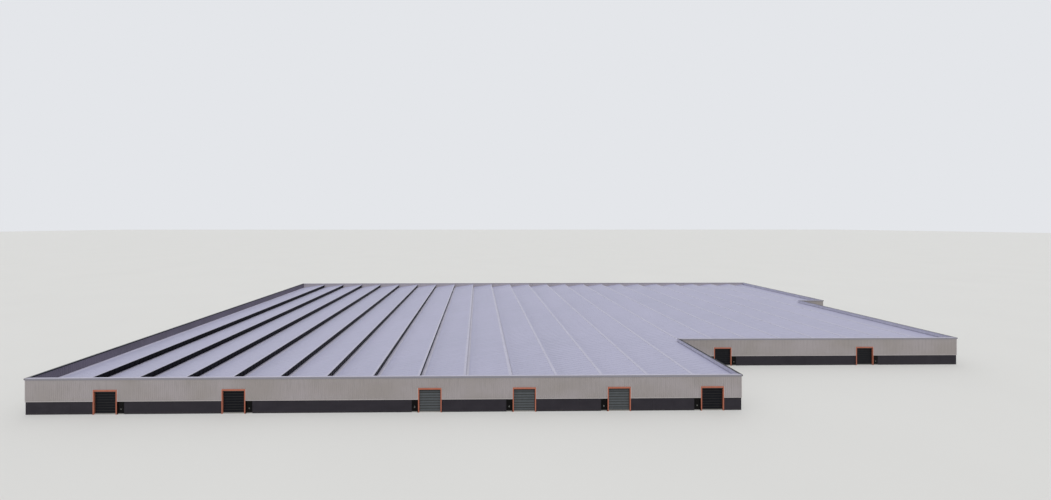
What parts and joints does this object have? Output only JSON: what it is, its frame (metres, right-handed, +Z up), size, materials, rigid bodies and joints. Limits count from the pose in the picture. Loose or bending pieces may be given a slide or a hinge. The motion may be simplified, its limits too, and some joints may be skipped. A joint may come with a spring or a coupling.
{
  "type": "scale model of a warehouse, 1:10",
  "caption": "Very large low warehouse at 1:10: saw-tooth roof with glazed north lights, stepped plan, dark base, ribbed cladding, orange-framed doorways and hinged side doors.",
  "frame": {"origin": "on the ground, under the middle ridge line of the roof, halfway between front and rear", "axes": "+X along the front to the right, +Y from the front to the rear, +Z up"},
  "size_m": [19.21, 10.004, 0.609],
  "materials": {
    "precast_concrete": "smooth cast concrete",
    "orange_frame": "orange paint, satin",
    "concrete": "power-floated concrete",
    "dark_trim": "dark folded sheet, satin",
    "base_panel": "dark grey sheet, matt",
    "coping": "pale folded sheet, satin",
    "wall_cladding": "grey-beige ribbed sheet, matt",
    "glazing": "dark tinted glass",
    "dark_door_panel": "dark blue-grey panels, satin",
    "light_door_panel": "grey-green panels, satin",
    "door_steel": "black paint, satin",
    "ridge_metal": "pale folded sheet, satin",
    "roof_sheet": "pale grey standing-seam sheet, satin",
    "structural_steel": "grey primer",
    "gutter_metal": "grey folded sheet, satin"
  },
  "bodies": {
    "building": {"columns": "precast_concrete", "doorway_lintels": "orange_frame", "doorway_posts": "orange_frame", "doorway_sills": "concrete", "edge_trims": "dark_trim", "extension_front_base_wall": "base_panel", "extension_front_coping": "coping", "extension_front_wall": "wall_cladding", "floor_slab_front": "concrete", "floor_slab_middle": "concrete", "floor_slab_rear": "concrete", "front_base_wall": "base_panel", "front_coping": "coping", "front_wall": "wall_cladding", "front_wall_panels": "wall_cladding", "left_base_wall": "base_panel", "left_coping": "dark_trim", "left_wall": "wall_cladding", "north_light_glazing": "glazing", "overhead_doors_dark": "dark_door_panel", "overhead_doors_light": "light_door_panel", "personnel_door_heads": "door_steel", "personnel_door_jambs": "door_steel", "rear_base_wall": "base_panel", "rear_coping": "coping", "rear_wall": "wall_cladding", "ridge_caps": "ridge_metal", "right_base_wall": "base_panel", "right_coping": "dark_trim", "right_wall": "wall_cladding", "roof_slopes": "roof_sheet", "roof_trusses": "structural_steel", "setback_base_wall": "base_panel", "setback_coping": "coping", "setback_wall": "wall_cladding", "setback_wall_panels": "wall_cladding", "valley_beams": "structural_steel", "valley_gutters": "gutter_metal", "wall_posts": "precast_concrete"},
    "personnel_door_1": {"personnel_door_1": "door_steel"},
    "personnel_door_2": {"personnel_door_2": "door_steel"},
    "personnel_door_3": {"personnel_door_3": "door_steel"},
    "personnel_door_4": {"personnel_door_4": "door_steel"},
    "personnel_door_5": {"personnel_door_5": "door_steel"},
    "personnel_door_6": {"personnel_door_6": "door_steel"},
    "personnel_door_7": {"personnel_door_7": "door_steel"},
    "personnel_door_8": {"personnel_door_8": "door_steel"}
  },
  "joints": [
    {"name": "personnel_door_1_hinge", "type": "hinge", "parent": "building", "child": "personnel_door_1", "pos_m": [-8.11425, -4.9925, 0.015], "axis": [0, 0, 1], "range_deg": [0, 90]},
    {"name": "personnel_door_2_hinge", "type": "hinge", "parent": "building", "child": "personnel_door_2", "pos_m": [-5.98625, -4.9925, 0.015], "axis": [0, 0, 1], "range_deg": [0, 90]},
    {"name": "personnel_door_3_hinge", "type": "hinge", "parent": "building", "child": "personnel_door_3", "pos_m": [-3.30175, -4.9925, 0.015], "axis": [0, 0, -1], "range_deg": [0, 90]},
    {"name": "personnel_door_4_hinge", "type": "hinge", "parent": "building", "child": "personnel_door_4", "pos_m": [-1.70175, -4.9925, 0.015], "axis": [0, 0, -1], "range_deg": [0, 90]},
    {"name": "personnel_door_5_hinge", "type": "hinge", "parent": "building", "child": "personnel_door_5", "pos_m": [-0.08575, -4.9925, 0.015], "axis": [0, 0, -1], "range_deg": [0, 90]},
    {"name": "personnel_door_6_hinge", "type": "hinge", "parent": "building", "child": "personnel_door_6", "pos_m": [1.51425, -4.9925, 0.015], "axis": [0, 0, -1], "range_deg": [0, 90]},
    {"name": "personnel_door_7_hinge", "type": "hinge", "parent": "building", "child": "personnel_door_7", "pos_m": [3.60575, -2.9925, 0.015], "axis": [0, 0, 1], "range_deg": [0, 90]},
    {"name": "personnel_door_8_hinge", "type": "hinge", "parent": "building", "child": "personnel_door_8", "pos_m": [6.83775, -2.9925, 0.015], "axis": [0, 0, 1], "range_deg": [0, 90]}
  ]
}
